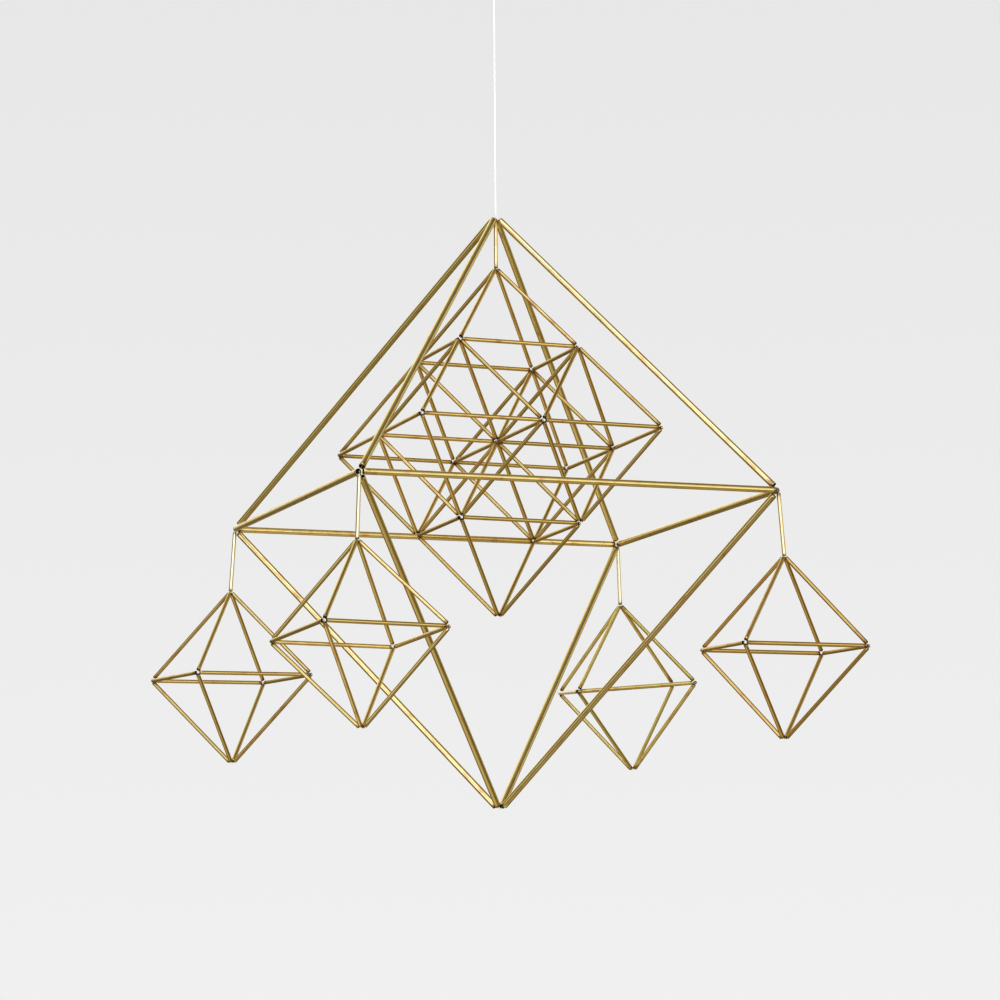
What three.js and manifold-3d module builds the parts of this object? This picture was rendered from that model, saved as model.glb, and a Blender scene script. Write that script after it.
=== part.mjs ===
// A hanging himmeli of brass tubes strung on thread: an outer octahedron of stout tubes, a lattice of
// fine tubes inside it, and four small octahedra hanging from its corners.
// Millimetres, +Z up, the front towards -Y. The origin is where a hook bears on the hanging loop.
import * as THREE from 'three';
import { ConvexGeometry } from 'three/addons/geometries/ConvexGeometry.js';
import { mergeVertices } from 'three/addons/utils/BufferGeometryUtils.js';
import Module from 'manifold-3d';

const wasm = await Module();
wasm.setup();

// Lengths from joint to joint
const frameEdge = 270;
const latticeEdge = 80;
const pendantEdge = 80;

// Brass tubes, stout ones for the frame and fine ones for the rest
const frameTubeRadius = 2;
const frameTubeWall = 0.4;
const fineTubeRadius = 1.25;
const fineTubeWall = 0.4;

// Tube ends at a joint: the space between those that stay apart, and how far those that are pushed
// together press into each other's rim
const frameJointGap = 0.3;
const fineJointGap = 0.4;
const rimContact = 0.2;

// The thread that it all hangs by, up to the loop's knot, and the finer thread that binds the tubes
const threadRadius = 0.4;
const threadLength = 150;
const bindingRadius = 0.25;
const knotReach = 0.6;
const threadClearance = 0.3;

// The loop that goes over a hook
const loopHeight = 16.4;
const loopWidth = 9;
const loopKnotRadius = 1.1;

// Hangers: how far each piece hangs below its joint, how far outwards the pendants lean, and how far
// above the piece's top joint its hanger ends
const latticeDrop = 34;
const pendantDrop = 41;
const pendantLean = 3.2;
const hangerFootGap = 0.1;

// How far each hanging piece has turned on its thread, and how far it tips about which level axis,
// in degrees anticlockwise from +X
const latticePose = { turn: 1.1, tip: 1.2, about: 164 };
const pendantPoses = {
  front_left: { turn: 6.2, tip: 3.4, about: 185 },
  front_right: { turn: -3.7, tip: 2.4, about: 1 },
  back_right: { turn: -11.7, tip: 6.3, about: 302 },
  back_left: { turn: 6.7, tip: 1.6, about: 322 },
};

// Facets of the round stock
const frameTubeSides = 10;
const boreSides = 6;
const fineTubeSides = 8;
const threadSides = 8;
const boundThreadSides = 3;
const loopSteps = 14;

// Tubes that meet on one face of an octahedron stand at 60 degrees, and each level of joints lies
// this share of an edge below the one above
const halfJointAngle = THREE.MathUtils.degToRad(30);
const levelDrop = Math.SQRT1_2;
const up = new THREE.Vector3(0, 0, 1);

const touching = (radius) => radius / Math.tan(halfJointAngle);
// Where a square-cut end clears the sides of the other tubes of its stock at its joint
const clearing = (radius, gap) => (radius * (1 + Math.sin(halfJointAngle)) + gap) / Math.cos(halfJointAngle);

// The frame's ring tubes stand square to each other, so they reach nearest to a joint. Its slanted
// tubes also clear a hanger that hangs straight down between them.
const ringSetBack = frameTubeRadius + frameJointGap;
const besideHanger = frameTubeRadius + (fineTubeRadius + frameJointGap) / levelDrop;
const slantSetBack = Math.max(clearing(frameTubeRadius, frameJointGap), besideHanger);
// Fine tubes are pushed together at one end, and their other end is free
const pushedSetBack = touching(fineTubeRadius * Math.cos(Math.PI / fineTubeSides)) - rimContact;
const freeSetBack = clearing(fineTubeRadius, fineJointGap);
// A hanger starts below the threads that slant down past its rim
const hangerHeadGap = fineTubeRadius + 2 * bindingRadius * levelDrop + threadClearance;

const brass = () => new THREE.MeshStandardMaterial({ color: 0xb0913f, roughness: 0.32, metalness: 1 });
const cotton = () => new THREE.MeshStandardMaterial({ color: 0xf4f2ee, roughness: 0.85, metalness: 0 });

function namedMesh(name, geometry, material) {
  const mesh = new THREE.Mesh(geometry, material);
  mesh.name = name;
  return mesh;
}

// Joins closed geometries into one
function fuse(geometries) {
  const solids = geometries.map((geometry) => {
    const bare = geometry.clone();
    bare.deleteAttribute('normal');
    bare.deleteAttribute('uv');
    const merged = mergeVertices(bare, 1e-5);
    return new wasm.Manifold(new wasm.Mesh({
      numProp: 3,
      vertProperties: new Float32Array(merged.attributes.position.array),
      triVerts: new Uint32Array(merged.index.array),
    }));
  });
  const { vertProperties, triVerts } = solids.reduce((whole, solid) => whole.add(solid)).getMesh();
  const geometry = new THREE.BufferGeometry();
  geometry.setAttribute('position', new THREE.BufferAttribute(vertProperties, 3));
  geometry.setIndex(new THREE.BufferAttribute(triVerts, 1));
  geometry.computeVertexNormals();
  return geometry;
}

function polygon(radius, sides) {
  return Array.from({ length: sides }, (_, i) => {
    const angle = (2 * Math.PI * i) / sides;
    return new THREE.Vector2(radius * Math.cos(angle), radius * Math.sin(angle));
  });
}

// The place and turn of a section that stands across a line, with one corner of it level
function across(point, along) {
  const upright = Math.abs(along.z) > 0.999;
  const level = upright ? new THREE.Vector3(1, 0, 0) : up.clone().cross(along).normalize();
  return new THREE.Matrix4().makeBasis(level, along.clone().cross(level), along).setPosition(point);
}

const direction = (from, to) => to.clone().sub(from).normalize();

// A straight rod, or a tube where it has a bore
function rod(from, to, radius, sides, boreRadius = 0) {
  const section = new THREE.Shape(polygon(radius, sides));
  if (boreRadius > 0) {
    section.holes.push(new THREE.Path(polygon(boreRadius, boreSides)));
  }
  const extrusion = new THREE.ExtrudeGeometry(section, { depth: from.distanceTo(to), bevelEnabled: false });
  return extrusion.applyMatrix4(across(from, direction(from, to)));
}

// A tube from joint to joint, set back from each
function tube(from, to, fromGap, toGap, stock) {
  const along = direction(from, to);
  const start = from.clone().addScaledVector(along, fromGap);
  const end = to.clone().addScaledVector(along, -toGap);
  return rod(start, end, stock.radius, stock.sides, stock.radius - stock.wall);
}

const frameStock = { radius: frameTubeRadius, wall: frameTubeWall, sides: frameTubeSides };
const fineStock = { radius: fineTubeRadius, wall: fineTubeWall, sides: fineTubeSides };

// The side of the middle axis that a point lies on, as a word or two
function sideName({ x, y }) {
  const nearly = 1e-6;
  const depth = y < -nearly ? 'front' : y > nearly ? 'back' : '';
  const width = x < -nearly ? 'left' : x > nearly ? 'right' : '';
  return [depth, width].filter(Boolean).join('_') || 'centre';
}

// The joints of an octahedron whose edges are divided into cells, from its top downwards: square
// levels of 1, 2 and so on a side down to the middle, and back to 1
function octahedronJoints(edge, cells) {
  const joints = [];
  for (let level = 0; level <= 2 * cells; level += 1) {
    const count = cells + 1 - Math.abs(cells - level);
    for (let row = 0; row < count; row += 1) {
      for (let column = 0; column < count; column += 1) {
        const x = (column - (count - 1) / 2) * edge;
        const y = (row - (count - 1) / 2) * edge;
        joints.push({ level, point: new THREE.Vector3(x, y, -level * edge * levelDrop) });
      }
    }
  }
  return joints;
}

// Joints one edge apart hold a tube between them. It belongs to the joint that it hangs from, within
// a level to the joint that comes first anticlockwise, and as a spoke to its outer joint.
function octahedronTubes(edge, cells) {
  const joints = octahedronJoints(edge, cells);
  const nearly = edge * 1e-3;
  const tubes = [];
  joints.forEach((a, index) => {
    joints.slice(index + 1).forEach((b) => {
      if (Math.abs(a.point.distanceTo(b.point) - edge) > nearly) {
        return;
      }
      const turning = a.point.x * b.point.y - a.point.y * b.point.x;
      const inward = Math.hypot(a.point.x, a.point.y) - Math.hypot(b.point.x, b.point.y);
      const first = Math.abs(turning) > nearly ? turning > 0 : inward > 0;
      tubes.push(a.level !== b.level || first ? { from: a, to: b } : { from: b, to: a });
    });
  });
  return { joints, tubes };
}

// The outer frame, one mesh for each tube
function buildFrame() {
  const group = new THREE.Group();
  octahedronTubes(frameEdge, 1).tubes.forEach(({ from, to }) => {
    const inRing = from.level === to.level;
    const part = inRing ? 'ring' : ['upper', 'lower'][from.level];
    const side = sideName(from.point.clone().add(to.point));
    const setBack = inRing ? ringSetBack : slantSetBack;
    const geometry = tube(from.point, to.point, setBack, setBack, frameStock);
    group.add(namedMesh(`frame_${part}_${side}_tube`, geometry, brass()));
  });
  return group;
}

// A figure of fine tubes, one mesh for the tubes that are pushed together at each joint
function buildFineTubes(prefix, edge, cells, levelNames) {
  const group = new THREE.Group();
  const { joints, tubes } = octahedronTubes(edge, cells);
  joints.forEach((joint) => {
    const pushed = tubes.filter(({ from }) => from === joint);
    if (pushed.length === 0) {
      return;
    }
    const side = joint.level === 0 ? '' : `_${sideName(joint.point)}`;
    const geometry = fuse(pushed.map(({ from, to }) => (
      tube(from.point, to.point, pushedSetBack, freeSetBack, fineStock)
    )));
    group.add(namedMesh(`${prefix}_${levelNames[joint.level]}${side}_tubes`, geometry, brass()));
  });
  return group;
}

// Turns a hanging piece on its thread, then tips it
function settle(group, { turn, tip, about }) {
  const angle = THREE.MathUtils.degToRad(about);
  const axis = new THREE.Vector3(Math.cos(angle), Math.sin(angle), 0);
  group.quaternion.setFromAxisAngle(axis, THREE.MathUtils.degToRad(tip));
  group.quaternion.multiply(new THREE.Quaternion().setFromAxisAngle(up, THREE.MathUtils.degToRad(turn)));
}

// The thread that runs through the tubes: a strand from knot to knot in each
const strands = [];
const knots = [];

function knotAt(point) {
  const found = knots.find((knot) => knot.point.distanceTo(point) < bindingRadius);
  if (found) {
    return found;
  }
  const knot = { point, corners: [] };
  knots.push(knot);
  return knot;
}

// The corners of a strand's section where it leaves a knot
function strandSection(knotPoint, along, reach) {
  const place = across(knotPoint.clone().addScaledVector(along, reach), along);
  const corners = polygon(bindingRadius, boundThreadSides).map(({ x, y }) => (
    new THREE.Vector3(x, y, 0).applyMatrix4(place)
  ));
  knotAt(knotPoint).corners.push(...corners);
  return corners;
}

function threadBetween(from, to) {
  const along = direction(from, to);
  strands.push([...strandSection(from, along, knotReach), ...strandSection(to, along, -knotReach)]);
}

function threadFigure(group, edge, cells) {
  group.updateMatrix();
  octahedronTubes(edge, cells).tubes.forEach(({ from, to }) => {
    threadBetween(from.point.clone().applyMatrix4(group.matrix), to.point.clone().applyMatrix4(group.matrix));
  });
}

const himmeli = new THREE.Group();

// From the hook down: the loop, its knot, the taut thread and the frame's top joint
const loopFoot = new THREE.Vector3(0, 0, -loopHeight);
const threadHead = loopFoot.clone().addScaledVector(up, -loopKnotRadius - threadClearance);
const threadFoot = threadHead.clone().addScaledVector(up, -threadLength);
const frameTop = threadFoot.clone().addScaledVector(up, -knotReach - threadClearance);

const frame = buildFrame();
frame.position.copy(frameTop);
himmeli.add(frame);
threadFigure(frame, frameEdge, 1);
strandSection(frameTop, up, knotReach);

// A figure of fine tubes with its hanger, hung from a joint of the frame
function hang(name, from, to, figurePose, edge, cells, levelNames) {
  const hanger = tube(from, to, hangerHeadGap, hangerFootGap, fineStock);
  himmeli.add(namedMesh(`${name}_hanger_tube`, hanger, brass()));
  threadBetween(from, to);
  const figure = buildFineTubes(name, edge, cells, levelNames);
  figure.position.copy(to);
  settle(figure, figurePose);
  himmeli.add(figure);
  threadFigure(figure, edge, cells);
}

const latticeTop = frameTop.clone().addScaledVector(up, -latticeDrop);
hang('lattice', frameTop, latticeTop, latticePose, latticeEdge, 2, ['top', 'upper', 'middle', 'lower']);

octahedronJoints(frameEdge, 1).filter(({ level }) => level === 1).forEach(({ point }) => {
  const side = sideName(point);
  const corner = point.clone().add(frameTop);
  const outward = new THREE.Vector3(point.x, point.y, 0).setLength(pendantLean);
  const pendantTop = corner.clone().add(outward).addScaledVector(up, -pendantDrop);
  hang(`${side}_pendant`, corner, pendantTop, pendantPoses[side], pendantEdge, 1, ['top', 'corner']);
});

const knotted = knots.map(({ corners }) => new ConvexGeometry(corners));
const strung = strands.map((corners) => new ConvexGeometry(corners));
himmeli.add(namedMesh('binding_thread', fuse([...knotted, ...strung]), cotton()));

himmeli.add(namedMesh('suspension_thread', rod(threadFoot, threadHead, threadRadius, threadSides), cotton()));

// Both strands of the loop end side by side in its knot
function buildHangingLoop() {
  const halfWidth = loopWidth / 2;
  const foot = new THREE.Vector3(threadRadius * 1.25, 0, -loopHeight);
  const waist = new THREE.Vector3(halfWidth * 0.7, 0, -loopHeight * 0.6);
  const shoulder = new THREE.Vector3(halfWidth, 0, -halfWidth);
  const bearing = new THREE.Vector3(0, 0, threadRadius);
  const mirrored = ({ x, y, z }) => new THREE.Vector3(-x, y, z);
  const extrudePath = new THREE.CatmullRomCurve3([
    mirrored(foot), mirrored(waist), mirrored(shoulder), bearing, shoulder, waist, foot,
  ]);
  const section = new THREE.Shape(polygon(threadRadius, threadSides));
  const strand = new THREE.ExtrudeGeometry(section, { steps: loopSteps, extrudePath });
  const knot = new THREE.SphereGeometry(loopKnotRadius, 8, 6).rotateX(Math.PI / 2);
  return fuse([strand, knot.translate(loopFoot.x, loopFoot.y, loopFoot.z)]);
}
himmeli.add(namedMesh('hanging_loop', buildHangingLoop(), cotton()));

export default himmeli;
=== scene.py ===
# A hanging himmeli of brass tubes and thread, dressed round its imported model. Metres, +Z up.
import math
import random

import bmesh
import bpy
from mathutils import Matrix, Vector


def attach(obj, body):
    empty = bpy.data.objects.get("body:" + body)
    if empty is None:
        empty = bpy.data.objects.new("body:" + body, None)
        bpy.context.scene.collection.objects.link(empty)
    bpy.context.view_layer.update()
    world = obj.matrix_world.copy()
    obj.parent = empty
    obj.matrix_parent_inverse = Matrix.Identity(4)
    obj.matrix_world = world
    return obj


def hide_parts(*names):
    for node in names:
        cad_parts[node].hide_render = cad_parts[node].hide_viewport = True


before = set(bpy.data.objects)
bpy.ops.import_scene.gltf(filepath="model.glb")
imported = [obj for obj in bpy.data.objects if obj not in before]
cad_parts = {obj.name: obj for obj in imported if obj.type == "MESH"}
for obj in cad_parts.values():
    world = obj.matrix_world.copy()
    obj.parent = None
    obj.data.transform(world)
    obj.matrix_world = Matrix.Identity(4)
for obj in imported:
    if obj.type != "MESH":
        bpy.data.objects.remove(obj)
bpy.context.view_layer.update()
mm = 0.001
up = Vector((0, 0, 1))
nearly = 1e-6           # distances below this count as none
mergeWithin = 1e-7      # vertices nearer than this become one

# camera, at the photograph's place and angle
cameraSet = {
    "place": (-0.8131, -2.2680, -0.6959),
    "lens": 137.7,
    "sensor": 36,
    "yaw": -19.76,
    "pitch": 8.10,
    "roll": 0.41,
    "farthest": 100,
}


def turned(axis, degrees):
    return Matrix.Rotation(math.radians(degrees), 4, axis)


def addCamera(settings):
    data = bpy.data.cameras.new("photographCamera")
    data.lens = settings["lens"]
    data.sensor_width = settings["sensor"]
    data.clip_end = settings["farthest"]
    camera = bpy.data.objects.new("photographCamera", data)
    bpy.context.collection.objects.link(camera)
    aim = turned("Z", settings["yaw"]) @ turned("X", settings["pitch"]) @ turned("Y", settings["roll"])
    level = turned("X", 90)     # a camera looks straight down until it is turned
    camera.matrix_world = Matrix.Translation(settings["place"]) @ aim @ level
    bpy.context.scene.camera = camera


addCamera(cameraSet)
print("camera placed")

# where the joints are: poses are degrees turned on the thread, then tipped about a level axis at an azimuth
himmeli = {
    "frameTop": Vector((0, 0, -168.7)) * mm,
    "frameEdge": 270 * mm,
    "fineEdge": 80 * mm,
    "latticeDrop": 34 * mm,
    "pendantDrop": 41 * mm,
    "pendantLean": 3.2 * mm,
    "latticePose": (1.1, 1.2, 164),
    "pendantPoses": {
        "front_left": (6.2, 3.4, 185),
        "front_right": (-3.7, 2.4, 1),
        "back_right": (-11.7, 6.3, 302),
        "back_left": (6.7, 1.6, 322),
    },
}


def sideName(point):
    depth = "front" if point.y < -nearly else "back" if point.y > nearly else ""
    width = "left" if point.x < -nearly else "right" if point.x > nearly else ""
    return "_".join(word for word in (depth, width) if word) or "centre"


# joints of an octahedron from its top down, in square levels that lie half a cell's diagonal apart
def octahedronJoints(edge, cells):
    levelDrop = edge * math.sqrt(0.5)
    joints = []
    for level in range(2 * cells + 1):
        count = cells + 1 - abs(cells - level)
        for row in range(count):
            for column in range(count):
                x = (column - (count - 1) / 2) * edge
                y = (row - (count - 1) / 2) * edge
                joints.append((level, Vector((x, y, -level * levelDrop))))
    return joints


# a tube belongs to its upper joint, or in a level to the first one anticlockwise, or else the outer one
def octahedronTubes(edge, cells):
    joints = octahedronJoints(edge, cells)
    slack = edge * 1e-3
    tubes = []
    for index, (level, a) in enumerate(joints):
        for lower, b in joints[index + 1:]:
            if abs((a - b).length - edge) > slack:
                continue
            turning = a.x * b.y - a.y * b.x
            inward = a.xy.length - b.xy.length
            first = turning > 0 if abs(turning) > slack * edge else inward > 0
            ends = (a, b) if level != lower or first else (b, a)
            tubes.append((level, *ends))
    return tubes


def poseMatrix(place, pose):
    turn, tip, about = pose
    angle = math.radians(about)
    axis = Vector((math.cos(angle), math.sin(angle), 0))
    return Matrix.Translation(place) @ Matrix.Rotation(math.radians(tip), 4, axis) @ turned("Z", turn)


# every tube: the CAD node that it belongs to, its two joints and its stock
def listTubes():
    top = himmeli["frameTop"]
    tubes = []
    placed = Matrix.Translation(top)
    for level, a, b in octahedronTubes(himmeli["frameEdge"], 1):
        inRing = abs(a.z - b.z) < nearly
        part = "ring" if inRing else ("upper", "lower")[level]
        stock = "ring" if inRing else "slant"
        tubes.append((f"frame_{part}_{sideName(a + b)}_tube", placed @ a, placed @ b, stock))

    def hang(name, corner, foot, pose, cells, levelNames):
        tubes.append((f"{name}_hanger_tube", corner, foot, "hanger"))
        placed = poseMatrix(foot, pose)
        for level, a, b in octahedronTubes(himmeli["fineEdge"], cells):
            side = "" if level == 0 else f"_{sideName(a)}"
            tubes.append((f"{name}_{levelNames[level]}{side}_tubes", placed @ a, placed @ b, "fine"))

    latticeTop = top - up * himmeli["latticeDrop"]
    hang("lattice", top, latticeTop, himmeli["latticePose"], 2, ("top", "upper", "middle", "lower"))
    for level, corner in octahedronJoints(himmeli["frameEdge"], 1):
        if level == 1:
            side = sideName(corner)
            outward = Vector((corner.x, corner.y, 0)).normalized() * himmeli["pendantLean"]
            foot = top + corner + outward - up * himmeli["pendantDrop"]
            hang(f"{side}_pendant", top + corner, foot, himmeli["pendantPoses"][side], 1, ("top", "corner"))
    return tubes


allTubes = listTubes()


def addPiece(name, shape, material, replaced):
    mesh = bpy.data.meshes.new(name)
    shape.to_mesh(mesh)
    shape.free()
    mesh.materials.append(material)
    piece = bpy.data.objects.new(name, mesh)
    bpy.context.collection.objects.link(piece)
    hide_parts(replaced)
    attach(piece, "root")
    return piece


# shader maths: arithmetic on a wrapped socket adds Math nodes
class Signal:
    def __init__(self, tree, socket=None):
        self.tree = tree
        self.socket = socket

    def feed(self, target, value):
        if isinstance(value, Signal):
            self.tree.links.new(value.socket, target)
        else:
            target.default_value = value

    def add(self, kind, settings=None, inputs=None, output=0):
        node = self.tree.nodes.new(kind)
        for name, value in (settings or {}).items():
            setattr(node, name, value)
        for name, value in (inputs or {}).items():
            self.feed(node.inputs[name], value)
        return Signal(self.tree, node.outputs[output]) if node.outputs else None

    def maths(self, operation, a, b):
        return self.add("ShaderNodeMath", {"operation": operation}, {0: a, 1: b})

    def __add__(self, other):
        return self.maths("ADD", self, other)

    def __sub__(self, other):
        return self.maths("SUBTRACT", self, other)

    def __rsub__(self, other):
        return self.maths("SUBTRACT", other, self)

    def __mul__(self, other):
        return self.maths("MULTIPLY", self, other)

    __radd__ = __add__
    __rmul__ = __mul__

    # one colour where the signal is 0 and another where it is 1
    def blend(self, low, high):
        return self.add("ShaderNodeMix", {"data_type": "RGBA"}, {0: self, 6: low, 7: high}, output=2)

    # a colour times another
    def tinted(self, reflectionTint):
        settings = {"data_type": "RGBA", "blend_type": "MULTIPLY"}
        return self.add("ShaderNodeMix", settings, {0: 1.0, 6: self, 7: reflectionTint}, output=2)

    # 0 below low and 1 above high, with a soft step between them
    def between(self, low, high):
        inputs = {"Value": self, "From Min": low, "From Max": high}
        return self.add("ShaderNodeMapRange", {"interpolation_type": "SMOOTHSTEP"}, inputs)


def startMaterial(name):
    material = bpy.data.materials.new(name)
    material.use_nodes = True
    material.node_tree.nodes.clear()
    return material, Signal(material.node_tree)


def finishMaterial(start, inputs):
    surface = start.add("ShaderNodeBsdfPrincipled", None, inputs)
    start.add("ShaderNodeOutputMaterial", None, {"Surface": surface})


# brass: patterns are in millimetres, "along" their scale along a tube against that round it
brassLook = {
    "olive": (0.74, 0.635, 0.285, 1),
    "golden": (0.95, 0.82, 0.43, 1),
    "copper": (0.80, 0.52, 0.22, 1),
    "paintedHighlight": (0.97, 0.90, 0.66, 1),
    "tarnish": (0.22, 0.13, 0.045, 1),
    "boreColor": (0.035, 0.02, 0.01, 1),
    "cloud": {"scale": 0.10, "detail": 2, "along": 0.35},
    "patch": {"scale": 0.32, "detail": 3, "along": 0.4},
    "drawn": {"scale": 4.0, "detail": 1, "along": 0.02},
    "toneShare": 0.75,          # a tube's own tone, painted light and shade on the listed tubes, against its clouds, between olive and golden
    "goldenRange": (0.12, 0.88),
    "copperTone": 0.08,
    "copperRange": (0.50, 0.80),
    "copperShare": 0.65,
    "stainNearEnd": 0.3,
    "stainRange": (0.60, 0.95),
    "stainShare": 0.6,
    "roughness": 0.17,
    "patchRoughness": 0.16,
    "stainRoughness": 0.12,
    "boreRoughness": 0.4,
    "boreDulls": 0.6,           # how much less metallic the dirty bore is
    "drawnBump": {"Strength": 0.05, "Distance": 0.05 * mm},
    "coat": {"Coat Weight": 0.5, "Coat Roughness": 0.15},
}


def brassMaterial(look):
    material, start = startMaterial("satinBrass")

    def perTube(name, output="Fac"):
        return start.add("ShaderNodeAttribute", {"attribute_name": name}, output=output)

    place = perTube("tubePlace", "Vector")
    reflectionTint = perTube("tubeReflectionTint", "Vector")
    toneAndLight = perTube("tubeToneAndLight")
    nearEnd = perTube("nearEnd")
    bore = perTube("bore")

    def noise(pattern):
        inputs = {0: place, 1: (1, 1, pattern["along"])}
        stretched = start.add("ShaderNodeVectorMath", {"operation": "MULTIPLY"}, inputs)
        inputs = {"Vector": stretched, "Scale": pattern["scale"], "Detail": pattern["detail"]}
        return start.add("ShaderNodeTexNoise", None, inputs)

    cloud = noise(look["cloud"])
    patch = noise(look["patch"])

    # on the listed tubes the tone is painted light and shade, not the brass's own
    golden = (toneAndLight * look["toneShare"] + cloud * (1 - look["toneShare"])).between(*look["goldenRange"])
    color = golden.blend(look["olive"], look["golden"])
    copper = (patch + toneAndLight * look["copperTone"]).between(*look["copperRange"]) * look["copperShare"]
    color = copper.blend(color, look["copper"])
    # painted highlight: tubes set above 1 turn towards pale cream, standing in for the bright highlight
    # they catch
    color = toneAndLight.between(1, 2).blend(color, look["paintedHighlight"])
    stain = (patch + nearEnd * look["stainNearEnd"]).between(*look["stainRange"]) * look["stainShare"]
    color = stain.blend(color, look["tarnish"])
    # painted reflection: outside the bore the brass is darkened and warmed by its octahedron's tint,
    # standing in for the warm room it reflects
    color = bore.blend(color.tinted(reflectionTint), look["boreColor"])

    roughness = look["roughness"] + (patch - 0.5) * look["patchRoughness"] + stain * look["stainRoughness"]
    finishMaterial(start, {
        "Base Color": color,
        "Metallic": 1 - bore * look["boreDulls"],
        "Roughness": roughness + bore * look["boreRoughness"],
        "Normal": start.add("ShaderNodeBump", None, {"Height": noise(look["drawn"]), **look["drawnBump"]}),
        **look["coat"],
    })
    return material


threadLook = {
    "light": (0.96, 0.955, 0.94, 1),
    "shade": (0.83, 0.81, 0.77, 1),
    "fibre": {"Scale": 5200, "Detail": 3},
    "fibreBump": {"Strength": 0.4, "Distance": 0.1 * mm},
    "roughness": 0.8,
    "sheen": 0.3,
}


def threadMaterial(look):
    material, start = startMaterial("whiteCotton")
    coordinates = start.add("ShaderNodeTexCoord", output="Object")
    fibre = start.add("ShaderNodeTexNoise", None, {"Vector": coordinates, **look["fibre"]})
    finishMaterial(start, {
        "Base Color": fibre.blend(look["light"], look["shade"]),
        "Roughness": look["roughness"],
        "Normal": start.add("ShaderNodeBump", None, {"Height": fibre, **look["fibreBump"]}),
        "Sheen Weight": look["sheen"],
    })
    return material


satinBrass = brassMaterial(brassLook)
whiteCotton = threadMaterial(threadLook)
print("materials made")

# tubes: a set back is how far a tube's end stays from its joint, at both ends unless the far one is free
tubeStock = {
    "slant": {"radius": 2.0 * mm, "wall": 0.4 * mm, "setBack": 4.192 * mm},
    "ring": {"radius": 2.0 * mm, "wall": 0.4 * mm, "setBack": 2.3 * mm},
    "fine": {"radius": 1.25 * mm, "wall": 0.4 * mm, "setBack": 1.8 * mm, "freeSetBack": 2.627 * mm},
    "hanger": {"radius": 1.25 * mm, "wall": 0.4 * mm, "setBack": 1.904 * mm, "freeSetBack": 0.1 * mm},
}
tubeShaping = {
    "chamfer": 0.1 * mm,
    "sides": 24,
    "loopsFromEnd": (2 * mm, 5 * mm, 12 * mm),
    "stainReach": 6 * mm,       # how far from an end the tarnish gathers
    "patternStep": Vector((31, 17, 57)),    # from tube to tube, so that no two have the same pattern
}
tubeColors = {
    "seed": 11,
    "paintedLightTone": {     # painted light and shade: listed tubes are set darker (0 to 1) or paler than the rest (1 to 2) for how brightly they catch the light, all others by chance
        "frame_upper_front_right_tube": 1.2,
        "frame_upper_back_left_tube": 0.1,
        "frame_lower_back_left_tube": 0.9,
        "front_left_pendant_hanger_tube": 2,
        "back_left_pendant_hanger_tube": 2,
        "back_right_pendant_hanger_tube": 2,
        "lattice_hanger_tube": 1.5,
        "front_right_pendant_hanger_tube": 1.4,
    },
    "paintedReflectionTint": {     # painted reflection: how much of red, green and blue each hanging octahedron's brass keeps, a darker, warmer cast standing in for the warm room it reflects
        "lattice": (0.88, 0.81, 0.69),
        "front_left_pendant": (1.0, 0.96, 0.92),
        "front_right_pendant": (0.90, 0.79, 0.65),
        "back_left_pendant": (0.91, 0.86, 0.78),
        "back_right_pendant": (0.90, 0.90, 0.74),
    },
}


# turns +Z along a line, with X kept level
def placeAlong(a, b):
    along = (b - a).normalized()
    upright = abs(along.z) > 0.999
    level = Vector((1, 0, 0)) if upright else up.cross(along).normalized()
    turn = Matrix((level, along.cross(level), along)).transposed()
    return Matrix.Translation(a) @ turn.to_4x4()


# adds one shape to another, and keeps its attributes
def joinShape(shape, part):
    mesh = bpy.data.meshes.new("part")
    part.to_mesh(mesh)
    part.free()
    shape.from_mesh(mesh)
    bpy.data.meshes.remove(mesh)


# a wall's outline spun round the tube's axis, with chamfered rims
def tubeShape(a, b, stock, index, toneAndLight, reflectionTint):
    length = (b - a).length - stock["setBack"] - stock.get("freeSetBack", stock["setBack"])
    outer = stock["radius"]
    inner = outer - stock["wall"]
    cut = tubeShaping["chamfer"]
    stops = [stop for stop in (cut, *tubeShaping["loopsFromEnd"]) if stop < length / 2]
    stops += [length - stop for stop in reversed(stops)]
    outline = [(outer - cut, 0), *[(outer, z) for z in stops], (outer - cut, length)]
    outline += [(inner + cut, length), *[(inner, z) for z in reversed(stops)], (inner + cut, 0)]
    tube = bmesh.new()
    verts = [tube.verts.new((r, 0, z)) for r, z in outline]
    edges = [tube.edges.new(pair) for pair in zip(verts, verts[1:] + verts[:1])]
    bmesh.ops.spin(
        tube, geom=verts + edges, cent=(0, 0, 0), axis=(0, 0, 1), dvec=(0, 0, 0),
        angle=2 * math.pi, steps=tubeShaping["sides"], use_merge=True, use_duplicate=False,
    )
    bmesh.ops.remove_doubles(tube, verts=tube.verts, dist=mergeWithin)
    bmesh.ops.recalc_face_normals(tube, faces=tube.faces)

    # what the brass reads, while the tube still stands along Z
    placeLayer = tube.verts.layers.float_vector.new("tubePlace")
    toneAndLightLayer = tube.verts.layers.float.new("tubeToneAndLight")
    reflectionTintLayer = tube.verts.layers.float_vector.new("tubeReflectionTint")
    endLayer = tube.verts.layers.float.new("nearEnd")
    boreLayer = tube.verts.layers.float.new("bore")
    for vert in tube.verts:
        fromEnd = min(vert.co.z, length - vert.co.z)
        vert[placeLayer] = vert.co / mm + tubeShaping["patternStep"] * index
        vert[toneAndLightLayer] = toneAndLight
        vert[reflectionTintLayer] = reflectionTint
        vert[endLayer] = max(0, 1 - fromEnd / tubeShaping["stainReach"])
        vert[boreLayer] = float(vert.co.xy.length < inner + cut / 2)
    for face in tube.faces:
        face.smooth = True
    place = placeAlong(a, b) @ Matrix.Translation((0, 0, stock["setBack"]))
    bmesh.ops.transform(tube, matrix=place, verts=tube.verts)
    return tube


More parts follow.
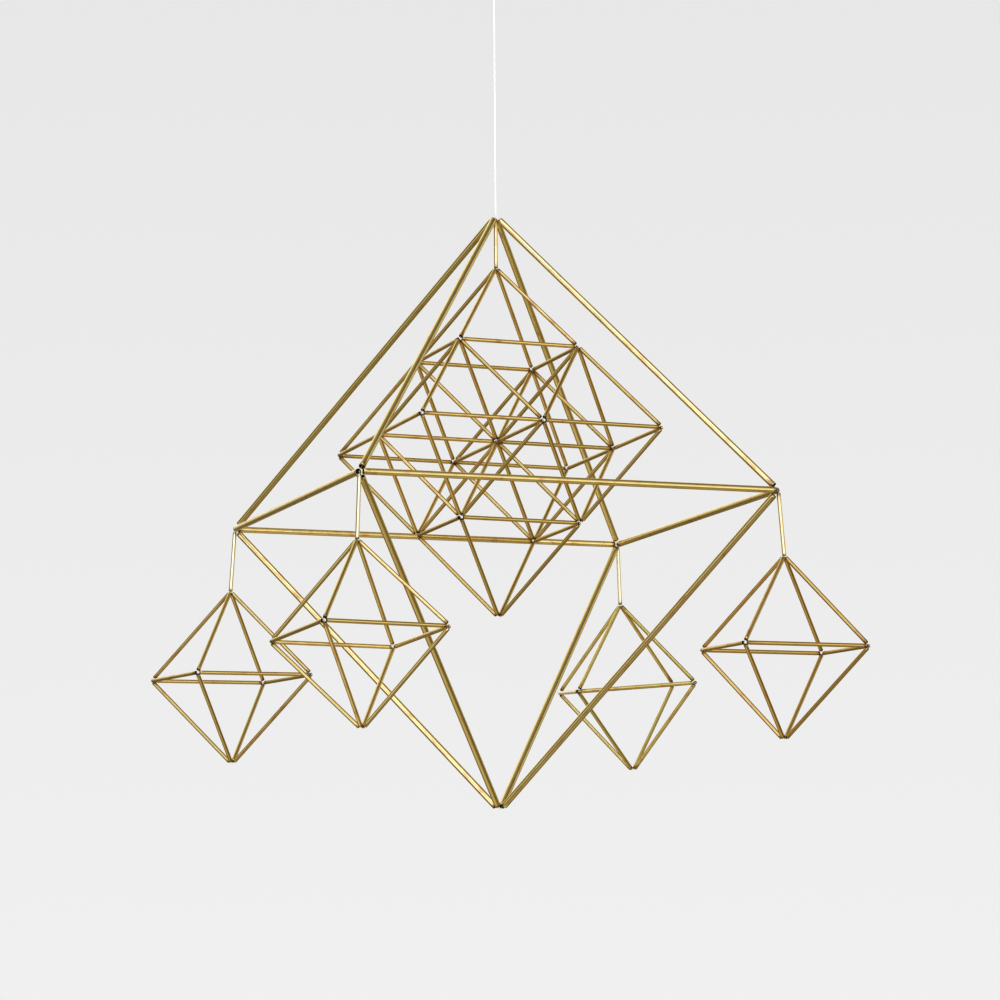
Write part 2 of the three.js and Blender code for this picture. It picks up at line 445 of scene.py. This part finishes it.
# each hanging octahedron's painted reflection tint; hangers and the frame keep plain brass
def reflectionTintOf(node):
    if not node.endswith("hanger_tube"):
        for hanging, reflectionTint in tubeColors["paintedReflectionTint"].items():
            if node.startswith(hanging):
                return reflectionTint
    return (1, 1, 1)


def buildTubes():
    chance = random.Random(tubeColors["seed"])
    nodes = {}
    for index, (node, a, b, stock) in enumerate(allTubes):
        # listed tubes take a set tone of painted light and shade; all others a tone by chance
        toneAndLight = tubeColors["paintedLightTone"].get(node, chance.random())
        nodes.setdefault(node, []).append((index, a, b, stock, toneAndLight))
    for node, tubes in nodes.items():
        shape = bmesh.new()
        for index, a, b, stock, toneAndLight in tubes:
            joinShape(shape, tubeShape(a, b, tubeStock[stock], index, toneAndLight, reflectionTintOf(node)))
        addPiece(f"brass_{node}", shape, satinBrass, node)


buildTubes()
print(f"{len(allTubes)} tubes made")

knotSteps = 24      # points round a knot


# lines to be swept as round strands of one radius, which overlap and twist as plies do
class Strands:
    def __init__(self, yarn):
        self.curve = bpy.data.curves.new("strands", "CURVE")
        self.curve.dimensions = "3D"
        self.curve.bevel_depth = yarn["radius"] / 2
        self.curve.bevel_resolution = yarn["roundness"]
        self.curve.use_fill_caps = True

    def lay(self, points, closed=False):
        line = self.curve.splines.new("POLY")
        line.points.add(len(points) - 1)
        for spot, point in zip(line.points, points):
            spot.co = (*point, 1)
        line.use_cyclic_u = closed

    # plies wound about a line of points
    def twist(self, points, yarn, phase=0.0):
        offset = yarn["radius"] - self.curve.bevel_depth
        line = resample(points, yarn["pitch"] / yarn["stepsPerTurn"])
        side = (line[1] - line[0]).orthogonal().normalized()
        spots = []
        for k, point in enumerate(line):
            along = (line[min(k + 1, len(line) - 1)] - line[max(k - 1, 0)]).normalized()
            side = (side - along * side.dot(along)).normalized()
            spots.append((point, side.copy(), along.cross(side)))
        for ply in range(yarn["plies"]):
            path = []
            for k, (point, side, cross) in enumerate(spots):
                angle = phase + 2 * math.pi * (ply / yarn["plies"] + k / yarn["stepsPerTurn"])
                path.append(point + offset * (side * math.cos(angle) + cross * math.sin(angle)))
            self.lay(path)

    # a trefoil of thread about an axis
    def knot(self, centre, size, axis, phase):
        side = axis.orthogonal().normalized()
        cross = axis.cross(side)
        points = []
        for k in range(knotSteps):
            t = 2 * math.pi * k / knotSteps + phase
            x = math.sin(t) + 2 * math.sin(2 * t)
            y = math.cos(t) - 2 * math.cos(2 * t)
            points.append(centre + size / 3 * (side * x + cross * y - axis * math.sin(3 * t)))
        self.lay(points, closed=True)

    def shape(self):
        holder = bpy.data.objects.new("strands", self.curve)
        mesh = bpy.data.meshes.new_from_object(holder)
        swept = bmesh.new()
        swept.from_mesh(mesh)
        bmesh.ops.remove_doubles(swept, verts=swept.verts, dist=mergeWithin)
        for face in swept.faces:
            face.smooth = True
        bpy.data.objects.remove(holder)
        bpy.data.meshes.remove(mesh)
        return swept


# points at even steps along a line
def resample(points, step):
    lengths = [0.0]
    for a, b in zip(points, points[1:]):
        lengths.append(lengths[-1] + (b - a).length)
    count = max(2, round(lengths[-1] / step))
    made = []
    k = 0
    for i in range(count + 1):
        wanted = lengths[-1] * i / count
        while k < len(lengths) - 2 and lengths[k + 1] < wanted:
            k += 1
        share = (wanted - lengths[k]) / max(lengths[k + 1] - lengths[k], 1e-12)
        made.append(points[k].lerp(points[k + 1], min(1.0, share)))
    return made


# a Catmull-Rom line through the corners
def smoothLine(corners, steps):
    line = []
    for k in range(len(corners) - 1):
        p0 = corners[max(k - 1, 0)]
        p1, p2 = corners[k], corners[k + 1]
        p3 = corners[min(k + 2, len(corners) - 1)]
        for i in range(steps):
            t = i / steps
            line.append(0.5 * (
                2 * p1 + (p2 - p0) * t + (2 * p0 - 5 * p1 + 4 * p2 - p3) * t * t
                + (3 * p1 - p0 - 3 * p2 + p3) * t ** 3
            ))
    line.append(corners[-1])
    return line


# the thread that it all hangs by, from the frame's top to the loop's knot, and the loop over a hook
suspension = {
    "yarn": {"radius": 0.4 * mm, "plies": 3, "pitch": 2.4 * mm, "stepsPerTurn": 10, "roundness": 2},
    "foot": Vector((0, 0, -167.8)) * mm,
    "head": Vector((0, 0, -17.8)) * mm,
    "routeSteps": 20,
    "loopHeight": 16.4 * mm,
    "loopWidth": 9 * mm,
    "loopFoot": 1.25,           # where the loop's legs start beside the knot, in thread radii
    "loopShoulder": (0.7, 0.6),     # a point of each leg, as shares of half the width and the height
    "loopSteps": 8,
    "loopKnotRadius": 1.1 * mm,
}


def addSuspension(settings):
    yarn = settings["yarn"]
    radius = yarn["radius"]
    foot, head = settings["foot"], settings["head"]
    steps = settings["routeSteps"]
    route = [foot.lerp(head, k / steps) for k in range(steps + 1)]
    strands = Strands(yarn)
    strands.twist(route, yarn)
    thread = addPiece("taut_thread", strands.shape(), whiteCotton, "suspension_thread")

    halfWidth = settings["loopWidth"] / 2
    height = settings["loopHeight"]
    outward, downward = settings["loopShoulder"]
    right = [
        Vector((radius * settings["loopFoot"], 0, -height)),
        Vector((halfWidth * outward, 0, -height * downward)),
        Vector((halfWidth, 0, -halfWidth)),
    ]
    left = [Vector((-point.x, 0, point.z)) for point in right]
    bearing = Vector((0, 0, radius))
    strands = Strands(yarn)
    strands.twist(smoothLine([*left, bearing, *reversed(right)], settings["loopSteps"]), yarn)
    knotSize = settings["loopKnotRadius"] - radius / 2
    for turn, axis in enumerate((up, Vector((1, 0, 0)), Vector((0, 1, 0)))):
        strands.knot(Vector((0, 0, -height)), knotSize, axis, turn)
    loop = addPiece("thread_loop", strands.shape(), whiteCotton, "hanging_loop")


addSuspension(suspension)
print("suspension made")

# the thread through the tubes: twisted where a joint shows it, and one plain strand further in
binding = {
    "yarn": {"radius": 0.09 * mm, "plies": 2, "pitch": 1.0 * mm, "stepsPerTurn": 6, "roundness": 0},
    "seed": 5,
    "phaseUpTo": 6,             # how far a thread or a knot may be turned, in radians
    "reachIntoTube": 5 * mm,
    "overlap": 1 * mm,
    "knotSize": 0.35 * mm,
    "knotInTube": 5 * mm,       # each joint's knot is drawn into a tube
    "sameJoint": 0.2 * mm,      # ends nearer than this meet at one joint
}


def addBinding(settings):
    yarn = settings["yarn"]
    overlap = settings["overlap"]
    strands = Strands(yarn)
    chance = random.Random(settings["seed"])
    knots = []
    for node, a, b, stock in allTubes:
        gaps = tubeStock[stock]
        along = (b - a).normalized()
        first = gaps["setBack"] + settings["reachIntoTube"]
        last = gaps.get("freeSetBack", gaps["setBack"]) + settings["reachIntoTube"]
        strands.twist([a, a + along * first], yarn, chance.random() * settings["phaseUpTo"])
        strands.twist([b - along * last, b], yarn, chance.random() * settings["phaseUpTo"])
        strands.lay([a + along * (first - overlap), b - along * (last - overlap)])
        for end, inward in ((a, along), (b, -along)):
            if all((end - joint).length > settings["sameJoint"] for joint, place in knots):
                knots.append((end, end + inward * settings["knotInTube"]))
    for joint, place in knots:
        axis = Vector([chance.uniform(-1, 1) for _ in range(3)]).normalized()
        strands.knot(place, settings["knotSize"], axis, chance.random() * settings["phaseUpTo"])
    strands.twist([himmeli["frameTop"], suspension["foot"]], yarn)
    addPiece("joint_thread", strands.shape(), whiteCotton, "binding_thread")


addBinding(binding)
print("binding made")

# studio: a plain pale floor far below
studioFloor = {
    "height": -2.3,
    "radius": 7.0,
    "sides": 96,
    "color": (0.72, 0.72, 0.72, 1),
    "roughness": 0.9,
    "glow": (0.24, 0.235, 0.23, 1),     # keeps the floor as pale as the backdrop
}


def addFloor(settings):
    material, start = startMaterial("paleFloor")
    finishMaterial(start, {
        "Base Color": settings["color"],
        "Roughness": settings["roughness"],
        "Emission Color": settings["glow"],
        "Emission Strength": 1,
    })
    shape = bmesh.new()
    bmesh.ops.create_circle(shape, cap_ends=True, segments=settings["sides"], radius=settings["radius"])
    bmesh.ops.translate(shape, verts=shape.verts, vec=(0, 0, settings["height"]))
    mesh = bpy.data.meshes.new("studio_floor")
    shape.to_mesh(mesh)
    shape.free()
    mesh.materials.append(material)
    floor = bpy.data.objects.new("studio_floor", mesh)
    bpy.context.collection.objects.link(floor)
    floor.visible_glossy = False    # the brass reflects the room below it


# a pale backdrop for the camera, and for all else a dim room with soft panels and a pale wall behind
studioRoom = {
    "backdropLow": (0.912, 0.912, 0.912, 1),
    "backdropHigh": (0.856, 0.856, 0.856, 1),
    "highAt": 0.27,     # how steeply upwards a direction points where the backdrop is at its upper grey
    "dim": (0.245, 0.208, 0.125),
    "wall": {           # it fades out downwards, from full to foot
        "toward": (0.22, 0.94, 0.22),
        "tightness": 3,
        "light": (0.85, 0.85, 0.85),
        "foot": -0.25,
        "full": 0.2,
    },
    "panels": {         # where each one's middle is, how tightly it holds together, and its light
        "left": ((-0.98, -0.14, -0.10), 45, (1.75, 1.85, 2.2)),
        "leftFront": ((-0.83, -0.54, 0.18), 45, (1.0, 1.2, 1.9)),
        "front": ((-0.34, -0.94, 0.12), 16, (1.7, 1.75, 1.8)),
        "rightFront": ((0.40, -0.91, 0.12), 6, (0.92, 0.94, 1.0)),
        "lowFront": ((0.38, -0.89, -0.24), 45, (0.45, 0.43, 0.40)),
        "upLeft": ((-0.50, -0.50, 0.70), 12, (1.15, 1.2, 1.3)),
        "top": ((-0.15, -0.42, 0.90), 14, (0.7, 0.8, 1.3)),
        "upBack": ((-0.28, 0.58, 0.77), 11, (0.65, 0.67, 0.6)),
        "right": ((0.95, 0.02, 0.31), 14, (0.6, 0.6, 0.68)),
        "below": ((-0.2, 0.0, -0.98), 3, (0.60, 0.55, 0.50)),
    },
}


def addRoom(settings):
    world = bpy.data.worlds.new("paleRoom")
    bpy.context.scene.world = world
    world.use_nodes = True
    world.node_tree.nodes.clear()
    start = Signal(world.node_tree)
    toward = start.add("ShaderNodeTexCoord", output="Generated")
    height = start.add("ShaderNodeSeparateXYZ", None, {0: toward}, output="Z")

    # 1 at the middle of a soft patch of the room, and less away from it
    def patch(middle, tightness):
        inputs = {0: toward, 1: Vector(middle).normalized()}
        facing = start.add("ShaderNodeVectorMath", {"operation": "DOT_PRODUCT"}, inputs, output="Value")
        return start.maths("POWER", start.maths("MAXIMUM", facing, 0.0), tightness)

    def lit(light, color, share):
        inputs = {0: color, 1: share, 2: light}
        return start.add("ShaderNodeVectorMath", {"operation": "MULTIPLY_ADD"}, inputs)

    light = settings["dim"]
    for middle, tightness, color in settings["panels"].values():
        light = lit(light, color, patch(middle, tightness))
    wall = settings["wall"]
    aboveFoot = height.between(wall["foot"], wall["full"])
    light = lit(light, wall["light"], patch(wall["toward"], wall["tightness"]) * aboveFoot)
    upward = start.add("ShaderNodeMapRange", None, {"Value": height, "From Max": settings["highAt"]})
    backdrop = upward.blend(settings["backdropLow"], settings["backdropHigh"])
    seen = start.add("ShaderNodeLightPath", output="Is Camera Ray")
    background = start.add("ShaderNodeBackground", None, {"Color": seen.blend(light, backdrop)})
    start.add("ShaderNodeOutputWorld", None, {"Surface": background})


# soft lights that whiten the thread and leave no streak on the brass
threadLamps = {
    "middle": Vector((0, 0, -0.36)),
    "distance": 3.2,
    "size": 2.4,
    "power": 70,
    "toward": {"front": (-0.1, -0.9, 0.45), "right": (0.9, 0.3, 0.35), "back": (-0.7, 0.7, 0.35)},
}


def addLamps(settings):
    for name, toward in settings["toward"].items():
        data = bpy.data.lights.new(f"{name}ThreadLight", "AREA")
        data.size = settings["size"]
        data.energy = settings["power"]
        lamp = bpy.data.objects.new(data.name, data)
        aim = Vector(toward).normalized()
        lamp.location = settings["middle"] + aim * settings["distance"]
        lamp.rotation_euler = aim.to_track_quat("Z", "Y").to_euler()
        lamp.visible_glossy = False
        lamp.visible_camera = False
        bpy.context.collection.objects.link(lamp)


pictureTone = {"transform": "Standard", "gamma": 0.7}   # the gamma gives the photograph's strong contrast

addFloor(studioFloor)
addRoom(studioRoom)
addLamps(threadLamps)
bpy.context.scene.view_settings.view_transform = pictureTone["transform"]
bpy.context.scene.view_settings.gamma = pictureTone["gamma"]
print("studio lit")
